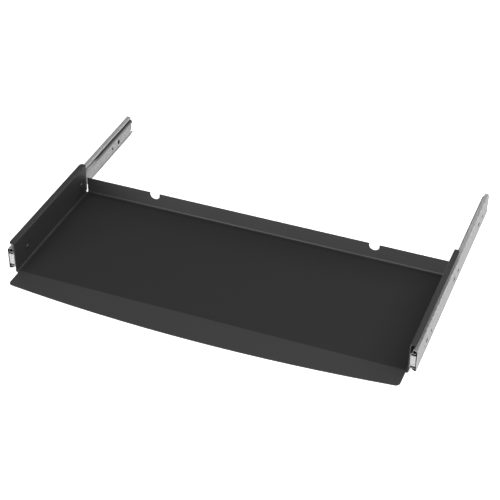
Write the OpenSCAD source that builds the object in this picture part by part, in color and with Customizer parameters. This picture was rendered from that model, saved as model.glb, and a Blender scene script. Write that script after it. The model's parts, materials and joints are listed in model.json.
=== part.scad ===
// Keyboard tray for the underside of a desk: a bent sheet-steel pan carried between two ball-bearing slides.
// Millimetres. X runs across the tray, +Y points to the rear and +Z points up.
// The origin is on the upper face of the mat, midway across the pan and midway along its side walls.
// The tray is drawn pushed in.

/* [Pan] */
// Clear width between the side walls
tray_w = 600; // [420:1:700]
// Depth from the front edges of the side walls to the back wall
tray_d = 230; // [180:1:300]
// Height of the side walls above the floor
side_h = 50; // [46:0.5:70]
// Height of the back wall above the floor
back_h = 26; // [20:0.5:40]
// Thickness of the pan's sheet
sheet_t = 1.2; // [0.8:0.1:2]
// Inside radius of the pan's bends
bend_r = 2; // [1:0.1:3]
// Reach of the flange that turns outward on top of each side wall
flange_w = 9; // [6:0.5:10]
// Corner radius of those flanges
flange_r = 5; // [1:0.5:6]
// Gap between each end of the back wall and the side wall beside it
corner_gap = 2; // [1:0.25:5]

/* [Front lip] */
// Reach of the lip in front of the side walls, on the centre line
lip_reach = 47.5; // [36:0.5:60]
// Radius of the lip's curved front edge
lip_arc_r = 2580; // [2400:10:4000]
// Corner radius of the lip
lip_corner_r = 7; // [2:0.5:10]
// Distance of each end of the lip from the side bend
lip_inset = 0.7; // [0.2:0.1:3]

/* [Mat] */
// Thickness of the mat on the floor
mat_t = 0.5; // [0.3:0.1:3]
// Distance of the mat from the bends beside and behind it
mat_margin = 2.5; // [0.5:0.25:6]
// Distance of the mat's front edge behind the front edges of the side walls
mat_set = 3.5; // [0:0.5:12]
// Corner radius of the mat
mat_corner_r = 2; // [0.5:0.5:10]

/* [Cable notches] */
// Distance of each notch from the centre line
notch_x = 180; // [60:1:190]
// Width of a notch
notch_w = 16; // [8:0.5:20]
// Height of the notch's lowest point above the floor
notch_z = 15; // [8:0.5:17]

/* [Slides] */
// Length of the outer rails
slide_l = 406; // [366:1:500]
// Height of the outer rails
slide_h = 35; // [32:0.5:36]
// Overall thickness of a slide
slide_t = 10.6; // [10.2:0.1:12]
// Sheet thickness of the rails
rail_t = 1; // [0.8:0.05:1.1]
// Height of the slides' centre line above the floor
slide_z = 22; // [20:0.5:25]
// Distance of the slides' front ends behind the front edges of the side walls
slide_set = 0; // [-3:0.5:6]
// Travel of the tray
travel = 280; // [200:1:290]
// Diameter of the bearing balls
ball_d = 3.2; // [3:0.1:3.4]
// Number of balls in one row
balls_in_row = 6; // [3:1:8]
// Sheet thickness of the ball cages
cage_t = 0.6; // [0.5:0.05:0.8]
// Length of the rubber buffers at the rear of the outer rails
buffer_l = 6; // [4:0.5:10]

/* [Rail holes] */
// Diameter of the round screw holes in the outer rails
rail_hole_d = 4.5; // [3.5:0.1:5]
// Distance of the first round hole from the rail's front end
rail_hole_front = 72; // [64:0.5:84]
// Distance of the last round hole from the rail's rear end
rail_hole_rear = 38; // [30:0.5:60]
// Distance of each slot in front of its round hole
rail_slot_set = 23; // [18:0.5:26]
// Length of the slots, end to end
rail_slot_l = 8; // [6:0.5:10]
// Distance of the pressed stop from the rail's front end
stop_set = 36; // [30:0.5:38]

/* [Fasteners] */
// Diameter of the screws that hold the pan to the inner rails
screw_d = 3.9; // [3:0.1:4.2]
// Diameter of the screw heads
screw_head_d = 8; // [6.5:0.1:9]
// Height of the screw heads
screw_head_h = 2.4; // [1.8:0.1:3]
// Width of the nuts across their flats
nut_af = 7; // [6.5:0.1:8]
// Thickness of the nuts
nut_h = 3.2; // [2.4:0.1:3.4]
// Distance of the front screws behind the front edges of the side walls
screw_front = 36; // [20:0.5:60]
// Distance of the rear screws in front of the back wall
screw_rear = 18; // [12:0.5:40]

/* [Hidden] */
$fn = 64;

// Finishes
black_coat = [0.14, 0.14, 0.15];
mat_black = [0.09, 0.09, 0.09];
zinc = [0.74, 0.75, 0.76];
ball_steel = [0.82, 0.83, 0.85];
black_screw = [0.2, 0.2, 0.21];
black_rubber = [0.06, 0.06, 0.06];

// Clearances
hole_play = 0.6;
thread_play = 0.1;
ball_play = 0.2;
pocket_play = 0.15;
stop_play = 0.2;
run_play = 0.4;

// Pan stations
wall_y = -tray_d / 2;
back_y = tray_d / 2;
wall_end_y = back_y + sheet_t;
flange_bend_r = 1.5;
flange_round = min(flange_r, flange_w - sheet_t - flange_bend_r);
flat_half_w = tray_w / 2 - bend_r;
lip_half_w = flat_half_w - lip_inset;
relief_rise = 1;
relief_z = bend_r + relief_rise;
flange_ease = 0.1;
round_ease = 0.02;
over = 1;

// Slide section: u runs outward from the pan's wall, v upward from the slide's centre line
half_h = slide_h / 2;
web_u = slide_t - rail_t;
rail_bend_r = 1;
rail_corner_r = rail_t + rail_bend_r;
race_r = ball_d / 2 + ball_play;
curl_r = race_r + rail_t;
ball_v = half_h - curl_r;
ball_set = 0.3;
ball_u = slide_t / 2 + ball_set;
lip_u = ball_u - curl_r;
rim_turn = 20;
rim_v = whole_hundredths(ball_v - race_r * sin(rim_turn));
rim_out_u = curl_r * cos(rim_turn);
rim_out_v = curl_r * sin(rim_turn);
inner_end_u = ball_u + rim_out_u;
inner_bend_r = 3;
inner_corner_r = rail_t + inner_bend_r;
shoulder_turn = 50;
shoulder_lap = 5;
shoulder_v = whole_hundredths(ball_v - race_r * sin(shoulder_turn));
groove_out_u = curl_r * cos(shoulder_turn + shoulder_lap);
groove_out_v = curl_r * sin(shoulder_turn + shoulder_lap);
cage_room = 0.7;
cage_web_u = web_u - cage_room - cage_t;
cage_bend_r = 0.5;
cage_v = rim_v + run_play + cage_t;
cage_end_u = ball_u - race_r + run_play;
fold_r = 0.5;
fold_or = fold_r + rail_t;

// Slide stations along s, which runs rearward from the outer rails' front ends
slide_y = wall_y + slide_set;
rear_tab_s = slide_l - rail_t - buffer_l;
horn = 6;
inner_l = rear_tab_s + horn;
stop_r = 2.5;
stop_wall = 0.5;
stop_hold = 0.3;
stop_u = cage_web_u - stop_hold;
cage_s0 = stop_set + stop_r + stop_play + travel / 2;
cage_s1 = rear_tab_s - rail_t - stop_play - travel / 2;
cage_l = cage_s1 - cage_s0;
ball_margin = 6;
ball_pitch = (cage_l - 2 * ball_margin) / (balls_in_row - 1);
hole_pitch = (slide_l - rail_hole_front - rail_hole_rear) / 2;
rear_tab_v = 7;
buffer_v = 6;
tab_slit = 0.4;
front_tab_v = shoulder_v - inner_corner_r - tab_slit;
buffer_neck_r = 2;
bevel_turn = 30;
access_d = 8;
slot_access_d = 5.5;
gauge_d = 3.2;
gauge_set = 37;

// Fastener stations
screw_s = [screw_front - slide_set, tray_d - screw_rear - slide_set];
screw_hole_d = screw_d + hole_play;
screw_end = 1;
screw_l = sheet_t + rail_t + nut_h + screw_end;
dome_r = 0.7 * screw_head_d;
drive_w = 0.9;
drive_l = 0.5 * screw_head_d;
drive_depth = 0.5 * screw_head_h;

// Helper shapes

// Rounds a length, so that a flat and the bend beside it meet at the same place
function whole_hundredths(length) = round(100 * length) / 100;

// Quarter of a ring in the plane: inside radius r, thickness t, starting at the angle turn
module bend2d(r, t, turn) {
    rotate(turn)
        intersection() {
            difference() {
                circle(r + t);
                circle(r);
            }
            square(r + t + over);
        }
}

// Extrudes a section drawn in the X-Z plane along +Y
module along_y(length) {
    translate([0, length, 0])
        rotate([90, 0, 0])
            linear_extrude(length)
                children();
}

// Cylinder along +X
module along_x(r, length) {
    rotate([0, 90, 0])
        cylinder(r = r, h = length);
}

// Removes a square corner outside a rounded one, around the round's centre
module corner_cut(r, h) {
    difference() {
        cube([r + over, r + over, h]);
        translate([0, 0, -over])
            cylinder(r = r, h = h + 2 * over);
    }
}

// Puts a slide part at the right-hand wall, or mirrored at the left-hand wall
module at_wall(side) {
    mirror([side < 0 ? 1 : 0, 0, 0])
        translate([tray_w / 2 + sheet_t, slide_y, slide_z - mat_t])
            children();
}

// Pan

// One half of the pan's cross-section: floor, bend, side wall, bend and flange
module pan_half_section() {
    translate([0, -sheet_t])
        square([flat_half_w, sheet_t]);
    translate([flat_half_w, bend_r])
        bend2d(bend_r, sheet_t, -90);
    translate([tray_w / 2, bend_r])
        square([sheet_t, side_h - sheet_t - flange_bend_r - bend_r]);
    translate([tray_w / 2 + sheet_t + flange_bend_r, side_h - sheet_t - flange_bend_r])
        bend2d(flange_bend_r, sheet_t, 90);
    translate([tray_w / 2 + sheet_t + flange_bend_r, side_h - sheet_t])
        square([flange_w - sheet_t - flange_bend_r, sheet_t]);
}

// Floor, side walls and flanges with their cut-outs
module pan_channel() {
    difference() {
        translate([0, wall_y, 0])
            along_y(wall_end_y - wall_y) {
                pan_half_section();
                mirror([1, 0])
                    pan_half_section();
            }
        // Room for the back bend, with corner reliefs in the side bends
        translate([-tray_w, back_y - bend_r, -sheet_t - over])
            cube([2 * tray_w, tray_d, sheet_t + over + relief_z]);
        for (side = [-1, 1])
            mirror([side < 0 ? 1 : 0, 0, 0]) {
                // Rounded flange corners
                for (end = [-1, 1])
                    translate([tray_w / 2 + flange_w - flange_round,
                            end < 0 ? wall_y + flange_round : wall_end_y - flange_round,
                            side_h - sheet_t - flange_ease])
                        mirror([0, end < 0 ? 1 : 0, 0])
                            corner_cut(flange_round, sheet_t + over);
                // Screw holes
                for (s = screw_s)
                    translate([tray_w / 2 - over, slide_y + s, slide_z])
                        along_x(screw_hole_d / 2, sheet_t + 2 * over);
            }
    }
}

// Back wall on its bend, with two cable notches
module back_wall() {
    half = tray_w / 2 - corner_gap;
    difference() {
        translate([half, 0, 0])
            rotate([90, 0, -90])
                linear_extrude(2 * half)
                    mirror([1, 0]) {
                        translate([back_y - bend_r, bend_r])
                            bend2d(bend_r, sheet_t, -90);
                        translate([back_y, bend_r])
                            square([sheet_t, back_h - bend_r]);
                    }
        for (side = [-1, 1])
            translate([side * notch_x, back_y - over, notch_z + notch_w / 2]) {
                rotate([-90, 0, 0])
                    cylinder(d = notch_w, h = sheet_t + 2 * over);
                translate([-notch_w / 2, 0, 0])
                    cube([notch_w, sheet_t + 2 * over, back_h]);
            }
    }
}

// Outline of the lip: parallel ends, arched front edge and rounded corners.
// The rounds stand out by a hair, so that they cross both edges and don't just graze them.
module lip_outline() {
    arc_y = lip_arc_r - lip_reach;
    round_x = lip_half_w - lip_corner_r + round_ease;
    round_y = arc_y - sqrt(pow(lip_arc_r - lip_corner_r + round_ease, 2) - pow(round_x, 2));
    slope = atan2(round_y - arc_y, round_x);
    difference() {
        intersection() {
            translate([0, arc_y])
                circle(lip_arc_r);
            translate([-lip_half_w, -lip_reach - over])
                square([2 * lip_half_w, lip_reach + 2 * over]);
        }
        for (side = [-1, 1])
            mirror([side < 0 ? 1 : 0, 0])
                translate([round_x, round_y])
                    difference() {
                        polygon([[0, 0], [2 * lip_corner_r, 0], [2 * lip_corner_r, -3 * lip_corner_r],
                            [3 * lip_corner_r * cos(slope), 3 * lip_corner_r * sin(slope)]]);
                        circle(lip_corner_r);
                    }
    }
}

// Lip in the plane of the floor
module front_lip() {
    translate([0, wall_y, -sheet_t])
        linear_extrude(sheet_t)
            lip_outline();
}

module tray_pan() {
    color(black_coat)
        translate([0, 0, -mat_t]) {
            pan_channel();
            back_wall();
            front_lip();
        }
}

// Thin mat on the floor, clear of the bends
module floor_mat() {
    half = flat_half_w - mat_margin;
    front = wall_y + mat_set;
    rear = back_y - bend_r - mat_margin;
    color(mat_black)
        difference() {
            translate([-half, front, -mat_t])
                cube([2 * half, rear - front, mat_t]);
            for (side = [-1, 1])
                for (end = [-1, 1])
                    translate([side * (half - mat_corner_r),
                            end < 0 ? front + mat_corner_r : rear - mat_corner_r, -mat_t - over])
                        mirror([side < 0 ? 1 : 0, 0, 0])
                            mirror([0, end < 0 ? 1 : 0, 0])
                                corner_cut(mat_corner_r, mat_t + 2 * over);
        }
}

// Slides

// Upper half of the outer rail's section: web, corner, flange and the curl over the balls
module outer_half_section() {
    translate([web_u, -over])
        square([rail_t, half_h - rail_corner_r + over]);
    translate([slide_t - rail_corner_r, half_h - rail_corner_r])
        bend2d(rail_corner_r - rail_t, rail_t, 0);
    translate([ball_u, half_h - rail_t])
        square([slide_t - rail_corner_r - ball_u, rail_t]);
    translate([ball_u, ball_v])
        bend2d(race_r, rail_t, 90);
}

// Round hole or slot through the outer rail's web, its length along the rail
module web_slot(d, length) {
    translate([web_u - over, 0, 0]) {
        for (end = [-1, 1])
            translate([0, end * (length - d) / 2, 0])
                along_x(d / 2, rail_t + 2 * over);
        translate([0, -(length - d) / 2, -d / 2])
            cube([rail_t + 2 * over, length - d, d]);
    }
}

module outer_rail(side) {
    color(zinc)
        at_wall(side) {
            difference() {
                union() {
                    along_y(slide_l) {
                        outer_half_section();
                        mirror([0, 1])
                            outer_half_section();
                    }
                    // Pressed stop for the ball cage
                    translate([stop_u, stop_set, 0])
                        along_x(stop_r, web_u - stop_u + rail_t / 2);
                }
                // Bevelled front ends of the flanges
                translate([0, 0, -slide_h])
                    linear_extrude(2 * slide_h)
                        polygon([[0, -over], [web_u - over, -over], [web_u - over, 0],
                            [0, (web_u - over) * tan(bevel_turn)]]);
                // Room for the bend of the rear tab
                translate([web_u - over, slide_l - fold_or, -rear_tab_v - tab_slit])
                    cube([rail_t + 2 * over, fold_or + over, 2 * (rear_tab_v + tab_slit)]);
                // Hollow of the pressed stop
                translate([web_u + rail_t / 2, stop_set, 0])
                    along_x(stop_r - stop_wall, rail_t);
                // Screw holes, slots and gauge holes
                for (i = [0, 1, 2]) {
                    translate([web_u - over, rail_hole_front + i * hole_pitch, 0])
                        along_x(rail_hole_d / 2, rail_t + 2 * over);
                    translate([0, rail_hole_front - rail_slot_set + i * hole_pitch, 0])
                        web_slot(rail_hole_d, rail_slot_l);
                }
                translate([web_u - over, rail_hole_front - gauge_set + hole_pitch, 0])
                    along_x(gauge_d / 2, rail_t + 2 * over);
            }
            // Rear tab that carries the buffer
            difference() {
                translate([0, 0, -rear_tab_v])
                    linear_extrude(2 * rear_tab_v) {
                        translate([slide_t - fold_or, slide_l - fold_or])
                            bend2d(fold_r, rail_t, 0);
                        translate([lip_u, slide_l - rail_t])
                            square([slide_t - fold_or - lip_u, rail_t]);
                    }
                translate([slide_t / 2, slide_l - rail_t - over, 0])
                    rotate([-90, 0, 0])
                        cylinder(r = buffer_neck_r + pocket_play, h = rail_t + 2 * over);
            }
        }
}

// Upper half of the inner rail's section: web, corner, shoulder and the groove under the balls
module inner_half_section() {
    translate([0, -over])
        square([rail_t, shoulder_v - inner_corner_r + over]);
    translate([inner_corner_r, shoulder_v - inner_corner_r])
        bend2d(inner_corner_r - rail_t, rail_t, 90);
    difference() {
        translate([inner_corner_r, shoulder_v - rail_t])
            square([ball_u - inner_corner_r, rail_t]);
        translate([ball_u, ball_v])
            circle(race_r);
    }
    translate([ball_u, ball_v])
        intersection() {
            difference() {
                circle(curl_r);
                circle(race_r);
            }
            polygon([[0, 0], [-2 * groove_out_u, -2 * groove_out_v], [0, -4 * curl_r],
                [4 * curl_r, -4 * curl_r], [2 * rim_out_u, -2 * rim_out_v]]);
        }
}

module inner_rail(side) {
    color(zinc)
        at_wall(side) {
            difference() {
                along_y(inner_l) {
                    inner_half_section();
                    mirror([0, 1])
                        inner_half_section();
                }
                // Room for the bends of the front and rear tabs
                translate([-over, -over, -front_tab_v - tab_slit])
                    cube([rail_t + 2 * over, fold_or + over, 2 * (front_tab_v + tab_slit)]);
                translate([-over, rear_tab_s - fold_or, -rear_tab_v - tab_slit])
                    cube([rail_t + 2 * over, fold_or + horn + over, 2 * (rear_tab_v + tab_slit)]);
                // Holes for the pan's screws
                for (s = screw_s)
                    translate([-over, s, 0])
                        along_x(screw_hole_d / 2, rail_t + 2 * over);
                // Holes that reach the outer rail's front screws when the tray is pulled out
                translate([-over, rail_hole_front + travel, 0])
                    along_x(access_d / 2, rail_t + 2 * over);
                translate([-over, rail_hole_front - rail_slot_set + travel, 0])
                    along_x(slot_access_d / 2, rail_t + 2 * over);
            }
            // Front tab that closes the rail
            translate([0, 0, -front_tab_v])
                linear_extrude(2 * front_tab_v) {
                    translate([fold_or, fold_or])
                        bend2d(fold_r, rail_t, 180);
                    translate([fold_or, 0])
                        square([inner_end_u - fold_or, rail_t]);
                }
            // Rear tab that meets the buffer and the ball cage
            translate([0, 0, -rear_tab_v])
                linear_extrude(2 * rear_tab_v) {
                    translate([fold_or, rear_tab_s - fold_or])
                        bend2d(fold_r, rail_t, 90);
                    translate([fold_or, rear_tab_s - rail_t])
                        square([cage_web_u + cage_t - fold_or, rail_t]);
                }
        }
}

// Upper half of the cage's section: web, corner and the flange that spaces the balls
module cage_half_section() {
    corner = cage_t + cage_bend_r;
    translate([cage_web_u, -over])
        square([cage_t, cage_v - corner + over]);
    translate([cage_web_u + cage_t - corner, cage_v - corner])
        bend2d(corner - cage_t, cage_t, 0);
    translate([cage_end_u, cage_v - cage_t])
        square([cage_web_u + cage_t - corner - cage_end_u, cage_t]);
}

module ball_cage(side) {
    color(zinc)
        at_wall(side)
            difference() {
                translate([0, cage_s0, 0])
                    along_y(cage_l) {
                        cage_half_section();
                        mirror([0, 1])
                            cage_half_section();
                    }
                for (i = [0 : balls_in_row - 1])
                    translate([ball_u, cage_s0 + ball_margin + i * ball_pitch, -half_h])
                        cylinder(r = ball_d / 2 + pocket_play, h = slide_h);
            }
}

// One row of balls: row is 1 for the upper race and -1 for the lower one
module ball_row(side, row) {
    color(ball_steel)
        at_wall(side)
            for (i = [0 : balls_in_row - 1])
                translate([ball_u, cage_s0 + ball_margin + i * ball_pitch, row * ball_v])
                    sphere(d = ball_d);
}

// Rubber buffer pushed into the outer rail's rear tab
module rear_buffer(side) {
    color(black_rubber)
        at_wall(side) {
            translate([lip_u, rear_tab_s, -buffer_v])
                cube([cage_web_u - lip_u, buffer_l, 2 * buffer_v]);
            translate([slide_t / 2, slide_l - rail_t - over, 0])
                rotate([-90, 0, 0])
                    cylinder(r = buffer_neck_r, h = rail_t + over);
        }
}

// Fasteners

// Pan-head screws with a cross recess, driven from inside the pan
module pan_screws(side) {
    color(black_screw)
        at_wall(side)
            for (s = screw_s)
                translate([-sheet_t, s, 0]) {
                    difference() {
                        intersection() {
                            translate([-screw_head_h, 0, 0])
                                along_x(screw_head_d / 2, screw_head_h);
                            translate([dome_r - screw_head_h, 0, 0])
                                sphere(dome_r);
                        }
                        for (turn = [0, 90])
                            rotate([turn, 0, 0])
                                translate([-screw_head_h - over, -drive_l / 2, -drive_w / 2])
                                    cube([drive_depth + over, drive_l, drive_w]);
                    }
                    along_x(screw_d / 2, screw_l);
                }
}

// Hexagon nuts inside the inner rail
module pan_nuts(side) {
    color(zinc)
        at_wall(side)
            for (s = screw_s)
                translate([rail_t, s, 0])
                    difference() {
                        rotate([0, 90, 0])
                            cylinder(d = nut_af / cos(30), h = nut_h, $fn = 6);
                        translate([-over, 0, 0])
                            along_x(screw_d / 2 + thread_play, nut_h + 2 * over);
                    }
}

tray_pan();
floor_mat();
outer_rail(-1);  // outer_rail_left
outer_rail(1);  // outer_rail_right
inner_rail(-1);  // inner_rail_left
inner_rail(1);  // inner_rail_right
ball_cage(-1);  // ball_cage_left
ball_cage(1);  // ball_cage_right
ball_row(-1, 1);  // upper_balls_left
ball_row(1, 1);  // upper_balls_right
ball_row(-1, -1);  // lower_balls_left
ball_row(1, -1);  // lower_balls_right
rear_buffer(-1);  // rear_buffer_left
rear_buffer(1);  // rear_buffer_right
pan_screws(-1);  // pan_screws_left
pan_screws(1);  // pan_screws_right
pan_nuts(-1);  // pan_nuts_left
pan_nuts(1);  // pan_nuts_right
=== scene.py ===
"""Keyboard tray under a desk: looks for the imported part, in metres, in the part's own frame."""

import json
from collections import namedtuple
from math import radians

import bpy
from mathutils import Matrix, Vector


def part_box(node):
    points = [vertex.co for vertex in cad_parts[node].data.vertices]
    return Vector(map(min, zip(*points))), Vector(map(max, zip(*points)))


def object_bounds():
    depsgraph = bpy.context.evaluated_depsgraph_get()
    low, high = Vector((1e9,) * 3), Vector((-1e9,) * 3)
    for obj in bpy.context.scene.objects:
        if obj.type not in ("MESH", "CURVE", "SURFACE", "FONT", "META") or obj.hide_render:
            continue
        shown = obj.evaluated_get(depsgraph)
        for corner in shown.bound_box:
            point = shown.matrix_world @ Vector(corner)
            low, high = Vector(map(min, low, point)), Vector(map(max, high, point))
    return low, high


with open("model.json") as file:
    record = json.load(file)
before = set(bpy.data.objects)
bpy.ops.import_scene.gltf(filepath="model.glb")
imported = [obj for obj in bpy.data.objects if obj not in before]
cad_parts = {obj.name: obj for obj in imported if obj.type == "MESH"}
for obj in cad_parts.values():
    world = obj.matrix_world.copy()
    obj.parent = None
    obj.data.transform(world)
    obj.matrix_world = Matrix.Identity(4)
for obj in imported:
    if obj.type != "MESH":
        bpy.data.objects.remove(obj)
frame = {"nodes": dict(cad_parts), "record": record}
cad_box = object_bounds()

MM = 0.001
WHITE = (1, 1, 1, 1)

# Camera: fitted to the photograph, taken as a square image
CAMERA_PLACE = (0.60562, -1.51368, 1.24716)
CAMERA_TURN_DEG = (53.572, -0.519, 21.360)
CAMERA_LENS_MM = 99.82
SENSOR_MM = 36.0

# Floor and world: the gap under the part, half the floor's width, its colour and roughness,
# the light it adds where the camera sees it and where a sheen mirrors it, and the light from all round
FLOOR_DROP = 0.0003
FLOOR_HALF = 12.0
FLOOR_COLOUR = (0.86, 0.86, 0.86, 1)
FLOOR_ROUGHNESS = 0.9
FLOOR_GLOW = 0.84
FLOOR_GLOSS = 0.3
WORLD_COLOUR = (0.2, 0.2, 0.2, 1)

# Lamps: rectangular area lights
Lamp = namedtuple("Lamp", "name place aim width height watts")
LAMPS = (
    Lamp("key_front", (-1.0, -3.0, 0.7), (0.0, 0.0, 0.0), 3.0, 1.2, 130.0),
    Lamp("rear_right", (1.4, 1.6, 0.8), (-0.2, 0.0, 0.0), 1.2, 0.7, 11.0),
    Lamp("fill_right", (1.05, 0.0, 0.95), (0.25, 0.05, 0.0), 0.9, 0.7, 5.0),
    Lamp("overhead", (0.0, 0.0, 2.4), (0.0, 0.0, 0.0), 3.0, 3.0, 29.0),
)

# Range that most values of a noise lie in
NOISE_LOW = 0.3
NOISE_HIGH = 0.7

# Zinc plate: part metal, part chalky passivation, mottled between two colours and two roughnesses
Plate = namedtuple("Plate", "dark light smoothest roughest")
ZINC_METALLIC = 0.5
RAIL_PLATE = Plate((0.34, 0.34, 0.34), (0.56, 0.56, 0.56), 0.46, 0.56)
CAGE_PLATE = Plate((0.44, 0.445, 0.45), (0.52, 0.525, 0.53), 0.44, 0.56)
NUT_PLATE = Plate((0.48, 0.485, 0.49), (0.58, 0.585, 0.59), 0.25, 0.4)

# Slides, alike on both sides: the thickness of the rails' sheet, the rails' mid height and front end,
# the insides of the outer rail's web and flanges, and the rows of balls.
# Heights on a slide are from the rails' middle, up or down.
RAIL_SHEET = 0.001
RAIL_LOW, RAIL_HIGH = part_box("outer_rail_right")
BALLS_LOW, BALLS_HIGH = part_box("upper_balls_right")
RAIL_MID = (RAIL_LOW.z + RAIL_HIGH.z) / 2
RAIL_FRONT = RAIL_LOW.y
WEB_INSIDE = RAIL_HIGH.x - RAIL_SHEET
FLANGE_INSIDE = RAIL_HIGH.z - RAIL_MID - RAIL_SHEET
BALL_ACROSS = (BALLS_LOW.x + BALLS_HIGH.x) / 2
BALL_HEIGHT = (BALLS_LOW.z + BALLS_HIGH.z) / 2 - RAIL_MID
BALL_RADIUS = (BALLS_HIGH.z - BALLS_LOW.z) / 2

# Rows of holes and slots along the outer rails: one place of each, and half a slot's straight length
MOUNTS = {mount["name"]: mount for mount in frame["record"]["mounts"]}
HOLES = MOUNTS["right_front_screw_holes"]
SLOTS = MOUNTS["right_front_slots"]
HOLE_PITCH = HOLES["dims"]["spacing_x_mm"] * MM
HOLE_RADIUS = HOLES["dims"]["hole_r_mm"] * MM
HALF_SLOT = SLOTS["dims"]["slot_length_mm"] / 2 * MM - HOLE_RADIUS
HOLE_ROWS = (
    (HOLES["pos_m"][1] + HOLE_PITCH / 2, 0.0),
    (SLOTS["pos_m"][1] + HOLE_PITCH / 2, HALF_SLOT),
)

# Painted shade at the edges of the holes and slots, for the dark inside them: how far past a hole's edge
# it is full and ends
HOLE_SHADE_FULL = 0.00035
HOLE_SHADE_END = 0.00095
HOLE_SHADE_COLOUR = (0.05, 0.05, 0.052, 1)

# Painted shade on the inner rails towards their ball races, where the outer rails' curls shade them: the
# heights where it starts and is full, the places along the rail where it is thin and whole, and the share
# of it that is left where it is thin
GROOVE_SHADE_START = 0.006
GROOVE_SHADE_FULL = 0.013
GROOVE_SHADE_THIN = 0.145
GROOVE_SHADE_WHOLE = 0.165
GROOVE_SHADE_LEFT = 0.4
GROOVE_SHADE_COLOUR = (0.05, 0.05, 0.052, 1)

# Painted shade in the ball races: how far from the balls it is full and ends, how far from the rails'
# front it is thick and thins out, and the share of it that is left in the outer rails behind that
RACE_SHADE_FULL = 0.0003
RACE_SHADE_END = 0.0008
HOLLOW_SHADE_THICK = 0.015
HOLLOW_SHADE_THIN = 0.045
HOLLOW_SHADE_LEFT = 0.5
HOLLOW_SHADE_COLOUR = (0.012, 0.012, 0.0125, 1)

# Painted shade in the corners inside the outer rails: how far into the sheet's cut end it is full and
# ends, how far past the balls it comes in, and the heights where it starts and is full
CORNER_FULL = 0.0001
CORNER_END = 0.0004
CORNER_FADE = 0.0015
CORNER_LOW = 0.009
CORNER_HIGH = 0.012


def new_material(name, metallic=0.0, specular=0.5):
    """A material with a bare principled shader. Returns the material, its node tree and the shader."""
    material = bpy.data.materials.new(name)
    material.use_nodes = True
    tree = material.node_tree
    tree.nodes.clear()
    out = tree.nodes.new("ShaderNodeOutputMaterial")
    shader = tree.nodes.new("ShaderNodeBsdfPrincipled")
    shader.inputs["Metallic"].default_value = metallic
    shader.inputs["Specular IOR Level"].default_value = specular
    tree.links.new(shader.outputs["BSDF"], out.inputs["Surface"])
    return material, tree, shader


def wire(tree, shader, colour, roughness, normal=None):
    """Joins a colour, a roughness and, where one is given, a bump to a shader."""
    tree.links.new(colour, shader.inputs["Base Color"])
    tree.links.new(roughness, shader.inputs["Roughness"])
    if normal is not None:
        tree.links.new(normal, shader.inputs["Normal"])


def object_points(tree, stretch=(1, 1, 1)):
    """Object coordinates in metres, stretched for grain that runs one way."""
    where = tree.nodes.new("ShaderNodeTexCoord")
    mapping = tree.nodes.new("ShaderNodeMapping")
    mapping.inputs["Scale"].default_value = stretch
    tree.links.new(where.outputs["Object"], mapping.inputs["Vector"])
    return mapping.outputs["Vector"]


def noise(tree, points, scale, detail=3.0, roughness=0.5):
    """A noise value from 0 to 1, scale in features per metre."""
    node = tree.nodes.new("ShaderNodeTexNoise")
    node.inputs["Scale"].default_value = scale
    node.inputs["Detail"].default_value = detail
    node.inputs["Roughness"].default_value = roughness
    tree.links.new(points, node.inputs["Vector"])
    return node.outputs["Fac"]


def cells(tree, points, scale):
    """Distance from the middle of small cells, scale in cells per metre."""
    node = tree.nodes.new("ShaderNodeTexVoronoi")
    node.inputs["Scale"].default_value = scale
    tree.links.new(points, node.inputs["Vector"])
    return node.outputs["Distance"]


def ramp(tree, value, dark, light, start=NOISE_LOW, end=NOISE_HIGH):
    """A colour that goes from dark to light as a value goes from start to end."""
    node = tree.nodes.new("ShaderNodeValToRGB")
    first, last = node.color_ramp.elements
    first.position = start
    first.color = (*dark, 1)
    last.position = end
    last.color = (*light, 1)
    tree.links.new(value, node.inputs["Fac"])
    return node.outputs["Color"]


def spread(tree, value, low, high):
    """A noise value spread over a range."""
    node = tree.nodes.new("ShaderNodeMapRange")
    node.inputs["From Min"].default_value = NOISE_LOW
    node.inputs["From Max"].default_value = NOISE_HIGH
    node.inputs["To Min"].default_value = low
    node.inputs["To Max"].default_value = high
    tree.links.new(value, node.inputs["Value"])
    return node.outputs["Result"]


def bump(tree, value, strength, height, below=None):
    """A bump from a value, height in metres, on top of another bump if one is given."""
    node = tree.nodes.new("ShaderNodeBump")
    node.inputs["Strength"].default_value = strength
    node.inputs["Distance"].default_value = height
    tree.links.new(value, node.inputs["Height"])
    if below is not None:
        tree.links.new(below, node.inputs["Normal"])
    return node.outputs["Normal"]


def math_node(tree, operation, *values):
    """The result of a math node; each value is a number or a socket."""
    node = tree.nodes.new("ShaderNodeMath")
    node.operation = operation
    for socket, value in zip(node.inputs, values):
        if isinstance(value, (int, float)):
            socket.default_value = value
        else:
            tree.links.new(value, socket)
    return node.outputs["Value"]


def distance(tree, first, second):
    """Length of the diagonal over two sides."""
    square = math_node(tree, "MULTIPLY", second, second)
    return math_node(tree, "SQRT", math_node(tree, "MULTIPLY_ADD", first, first, square))


def smooth(tree, value, start, full, least=0.0):
    """A share that rises smoothly from the least to 1 as a value goes from start to full."""
    node = tree.nodes.new("ShaderNodeMapRange")
    node.interpolation_type = "SMOOTHSTEP"
    node.inputs["From Min"].default_value = start
    node.inputs["From Max"].default_value = full
    node.inputs["To Min"].default_value = least
    tree.links.new(value, node.inputs["Value"])
    return node.outputs["Result"]


def paint_shade(tree, plate, share, colour):
    """Turns a share of a plate colour to painted shade of a given colour."""
    mix = tree.nodes.new("ShaderNodeMix")
    mix.data_type = "RGBA"
    tree.links.new(share, mix.inputs["Factor"])
    unshaded, shaded = (socket for socket in mix.inputs if socket.type == "RGBA")
    tree.links.new(plate, unshaded)
    shaded.default_value = colour
    return next(socket for socket in mix.outputs if socket.type == "RGBA")


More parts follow.
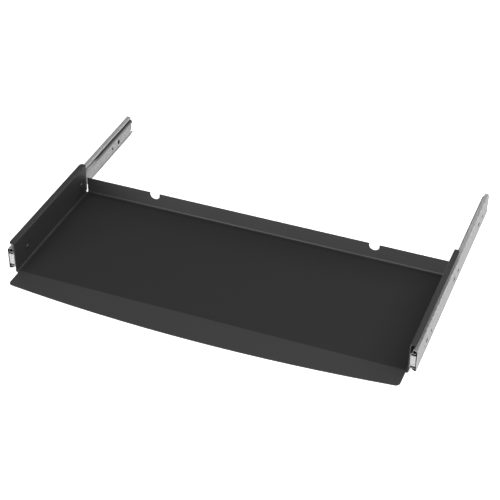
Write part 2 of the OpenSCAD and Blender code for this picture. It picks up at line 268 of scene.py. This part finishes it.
def powder_coat():
    """Satin black powder coat: a fine pebbled skin over a slow unevenness."""
    material, tree, shader = new_material("powder_coat_black", specular=0.4)
    points = object_points(tree)
    pebbles = noise(tree, points, scale=1100, detail=2.0)
    specks = noise(tree, points, scale=3200, detail=1.0)
    slow = noise(tree, points, scale=14, detail=2.0)
    colour = ramp(tree, specks, dark=(0.028, 0.028, 0.0285), light=(0.038, 0.038, 0.0385))
    uneven = bump(tree, slow, strength=0.15, height=0.0004)
    skin = bump(tree, pebbles, strength=0.3, height=0.00004, below=uneven)
    wire(tree, shader, colour, spread(tree, slow, low=0.5, high=0.57), skin)
    return material


def mat_sheet():
    """Matt black sheet with a fine leathery grain."""
    material, tree, shader = new_material("mat_sheet_black", specular=0.3)
    points = object_points(tree)
    dust = noise(tree, points, scale=2600, detail=2.0)
    colour = ramp(tree, dust, dark=(0.015, 0.015, 0.0154), light=(0.021, 0.021, 0.0214))
    grain = bump(tree, cells(tree, points, scale=900), strength=0.25, height=0.00006)
    wire(tree, shader, colour, spread(tree, dust, low=0.62, high=0.74), grain)
    return material


def polished_ball():
    """Bright ball steel with the faintest haze."""
    material, tree, shader = new_material("ball_steel_bright", metallic=1.0)
    haze = noise(tree, object_points(tree), scale=1800, detail=2.0)
    colour = ramp(tree, haze, dark=(0.70, 0.71, 0.73), light=(0.78, 0.79, 0.81))
    wire(tree, shader, colour, spread(tree, haze, low=0.06, high=0.14))
    return material


def moulded_rubber():
    """Matt black rubber with a fine moulded grain."""
    material, tree, shader = new_material("rubber_black", specular=0.3)
    grain = noise(tree, object_points(tree), scale=2200)
    colour = ramp(tree, grain, dark=(0.014, 0.014, 0.014), light=(0.024, 0.024, 0.024))
    skin = bump(tree, grain, strength=0.3, height=0.00005)
    wire(tree, shader, colour, spread(tree, grain, low=0.7, high=0.85), skin)
    return material


def black_oxide():
    """Blackened screw steel, a little worn."""
    material, tree, shader = new_material("screw_black_oxide", metallic=0.6)
    wear = noise(tree, object_points(tree), scale=700, detail=4.0)
    colour = ramp(
        tree, wear, dark=(0.05, 0.05, 0.051), light=(0.14, 0.14, 0.142), start=0.4, end=0.75
    )
    skin = bump(tree, wear, strength=0.15, height=0.00003)
    wire(tree, shader, colour, spread(tree, wear, low=0.3, high=0.42), skin)
    return material


def plated_steel(name, finish, painted_shade=None):
    """Dull zinc plate on rolled steel: faint streaks along the rail, a mottled plate and, where given,
    painted shade on it.
    """
    material, tree, shader = new_material(name, metallic=ZINC_METALLIC)
    streaks = noise(tree, object_points(tree, stretch=(1, 0.02, 1)), scale=2400, roughness=0.6)
    mottle = noise(tree, object_points(tree, stretch=(1, 0.35, 1)), scale=600, roughness=0.65)
    plate = ramp(tree, mottle, finish.dark, finish.light, start=0.35, end=0.65)
    if painted_shade:
        plate = painted_shade(tree, plate)
    roughness = spread(tree, streaks, finish.smoothest, finish.roughest)
    wire(tree, shader, plate, roughness, bump(tree, streaks, strength=0.12, height=0.00002))
    return material


def slide_points(tree):
    """Distance from the tray's middle, place along the slide, and height from the rails' middle."""
    parts = tree.nodes.new("ShaderNodeSeparateXYZ")
    tree.links.new(object_points(tree), parts.inputs["Vector"])
    across = math_node(tree, "ABSOLUTE", parts.outputs["X"])
    height = math_node(tree, "SUBTRACT", parts.outputs["Z"], RAIL_MID)
    return across, parts.outputs["Y"], math_node(tree, "ABSOLUTE", height)


def hole_shade_share(tree, along, height):
    """A share of painted shade that is 1 at the edges of the rows of holes and slots."""
    share = 0.0
    for place, half_slot in HOLE_ROWS:
        step = math_node(tree, "SUBTRACT", along, place)
        step = math_node(tree, "WRAP", step, HOLE_PITCH / 2, -HOLE_PITCH / 2)
        past = math_node(tree, "SUBTRACT", math_node(tree, "ABSOLUTE", step), half_slot)
        past = math_node(tree, "MAXIMUM", past, 0.0)
        away = distance(tree, past, height)
        rim = smooth(tree, away, HOLE_RADIUS + HOLE_SHADE_END, HOLE_RADIUS + HOLE_SHADE_FULL)
        share = math_node(tree, "MAXIMUM", rim, share)
    return share


def groove_shade_share(tree, along, height):
    """A share of painted shade that grows towards the two ball races of an inner rail and thins out
    towards its front.
    """
    near_race = smooth(tree, height, GROOVE_SHADE_START, GROOVE_SHADE_FULL)
    whole = smooth(tree, along, GROOVE_SHADE_THIN, GROOVE_SHADE_WHOLE, GROOVE_SHADE_LEFT)
    return math_node(tree, "MULTIPLY", near_race, whole)


def race_shade_share(tree, across, height):
    """A share of painted shade that is 1 around the lines that the balls run on, and 0 outside the races.
    """
    beside = math_node(tree, "SUBTRACT", across, BALL_ACROSS)
    above = math_node(tree, "SUBTRACT", height, BALL_HEIGHT)
    away = distance(tree, beside, above)
    return smooth(tree, away, BALL_RADIUS + RACE_SHADE_END, BALL_RADIUS + RACE_SHADE_FULL)


def corner_shade_share(tree, across, height):
    """A share of painted shade that is 1 in the two corners inside an outer rail, and 0 on the rest of it.
    """
    from_web = math_node(tree, "SUBTRACT", WEB_INSIDE, across)
    from_flange = math_node(tree, "SUBTRACT", FLANGE_INSIDE, height)
    inside = math_node(tree, "MINIMUM", from_web, from_flange)
    share = smooth(tree, inside, -CORNER_END, -CORNER_FULL)
    past_balls = smooth(tree, across, BALL_ACROSS, BALL_ACROSS + CORNER_FADE)
    in_corner = smooth(tree, height, CORNER_LOW, CORNER_HIGH)
    return math_node(tree, "MULTIPLY", share, math_node(tree, "MULTIPLY", past_balls, in_corner))


def front_share(tree, along, least=0.0):
    """A share that is 1 at the slide's front end, and the least behind it."""
    return smooth(tree, along, RAIL_FRONT + HOLLOW_SHADE_THIN, RAIL_FRONT + HOLLOW_SHADE_THICK, least)


def inner_painted_shade(tree, plate):
    """An inner rail's plate with painted shade towards its races, and dark painted shade in its races at
    its front end.
    """
    across, along, height = slide_points(tree)
    plate = paint_shade(tree, plate, groove_shade_share(tree, along, height), GROOVE_SHADE_COLOUR)
    hollow_shade = race_shade_share(tree, across, height)
    hollow_shade = math_node(tree, "MULTIPLY", hollow_shade, front_share(tree, along))
    return paint_shade(tree, plate, hollow_shade, HOLLOW_SHADE_COLOUR)


def outer_painted_shade(tree, plate):
    """An outer rail's plate with painted shade at the edges of its holes, and painted shade in its races
    and inside corners, darkest at its front end.
    """
    across, along, height = slide_points(tree)
    plate = paint_shade(tree, plate, hole_shade_share(tree, along, height), HOLE_SHADE_COLOUR)
    corners = corner_shade_share(tree, across, height)
    hollow_shade = math_node(tree, "MAXIMUM", race_shade_share(tree, across, height), corners)
    hollow_shade = math_node(tree, "MULTIPLY", hollow_shade, front_share(tree, along, HOLLOW_SHADE_LEFT))
    return paint_shade(tree, plate, hollow_shade, HOLLOW_SHADE_COLOUR)


def dress(nodes, record):
    """Gives each node of the frame the material of its slot; the inner rails have one of their own."""
    by_slot = {
        "black_coat": powder_coat(),
        "mat_black": mat_sheet(),
        "zinc_rail": plated_steel("zinc_plate_outer_rail", RAIL_PLATE, outer_painted_shade),
        "zinc_cage": plated_steel("zinc_plate_cage", CAGE_PLATE),
        "zinc_nut": plated_steel("zinc_plate_nut", NUT_PLATE),
        "ball_steel": polished_ball(),
        "black_rubber": moulded_rubber(),
        "black_screw": black_oxide(),
    }
    inner_rail = plated_steel("zinc_plate_inner_rail", RAIL_PLATE, inner_painted_shade)
    for part in record["subparts"]:
        material = by_slot[part["material_slot"]]
        if part["node"].startswith("inner_rail"):
            material = inner_rail
        mesh = nodes[part["node"]].data
        for index in range(len(mesh.materials)):
            mesh.materials[index] = material


def floor_material():
    """Pale floor that glows to the camera and, less so, in a sheen, and still takes the shadow."""
    material, tree, shader = new_material("floor_pale", specular=0.0)
    shader.inputs["Base Color"].default_value = FLOOR_COLOUR
    shader.inputs["Roughness"].default_value = FLOOR_ROUGHNESS
    shader.inputs["Emission Color"].default_value = WHITE
    path = tree.nodes.new("ShaderNodeLightPath")
    in_sheen = math_node(tree, "MULTIPLY", path.outputs["Is Glossy Ray"], FLOOR_GLOSS)
    glow = math_node(tree, "MULTIPLY_ADD", path.outputs["Is Camera Ray"], FLOOR_GLOW, in_sheen)
    tree.links.new(glow, shader.inputs["Emission Strength"])
    return material


def add_floor(height):
    """A wide floor at a height."""
    mesh = bpy.data.meshes.new("floor")
    low, high = -FLOOR_HALF, FLOOR_HALF
    corners = ((low, low, height), (high, low, height), (high, high, height), (low, high, height))
    mesh.from_pydata(corners, (), ((0, 1, 2, 3),))
    mesh.materials.append(floor_material())
    floor = bpy.data.objects.new("floor", mesh)
    bpy.context.collection.objects.link(floor)


def add_world():
    """Soft light from all round, and plain white where the camera sees past the floor."""
    world = bpy.data.worlds.new("studio")
    world.use_nodes = True
    tree = world.node_tree
    around = tree.nodes["Background"]
    around.inputs["Color"].default_value = WORLD_COLOUR
    seen = tree.nodes.new("ShaderNodeBackground")
    seen.inputs["Color"].default_value = WHITE
    path = tree.nodes.new("ShaderNodeLightPath")
    mix = tree.nodes.new("ShaderNodeMixShader")
    tree.links.new(path.outputs["Is Camera Ray"], mix.inputs["Fac"])
    tree.links.new(around.outputs["Background"], mix.inputs[1])
    tree.links.new(seen.outputs["Background"], mix.inputs[2])
    tree.links.new(mix.outputs["Shader"], tree.nodes["World Output"].inputs["Surface"])
    bpy.context.scene.world = world


def add_lamps():
    """The area lights, each turned to its aim."""
    for lamp in LAMPS:
        data = bpy.data.lights.new(lamp.name, "AREA")
        data.shape = "RECTANGLE"
        data.size = lamp.width
        data.size_y = lamp.height
        data.energy = lamp.watts
        light = bpy.data.objects.new(lamp.name, data)
        light.location = lamp.place
        towards = Vector(lamp.aim) - Vector(lamp.place)
        light.rotation_euler = towards.to_track_quat("-Z", "Y").to_euler()
        bpy.context.collection.objects.link(light)


def add_camera():
    """The camera that sees the part as the photograph does."""
    data = bpy.data.cameras.new("camera")
    data.lens = CAMERA_LENS_MM
    data.sensor_width = SENSOR_MM
    camera = bpy.data.objects.new("camera", data)
    camera.location = CAMERA_PLACE
    camera.rotation_euler = [radians(turn) for turn in CAMERA_TURN_DEG]
    bpy.context.collection.objects.link(camera)
    bpy.context.scene.camera = camera


bpy.context.scene.view_settings.view_transform = "Standard"
dress(frame["nodes"], frame["record"])
add_floor(cad_box[0].z - FLOOR_DROP)
add_world()
add_lamps()
add_camera()
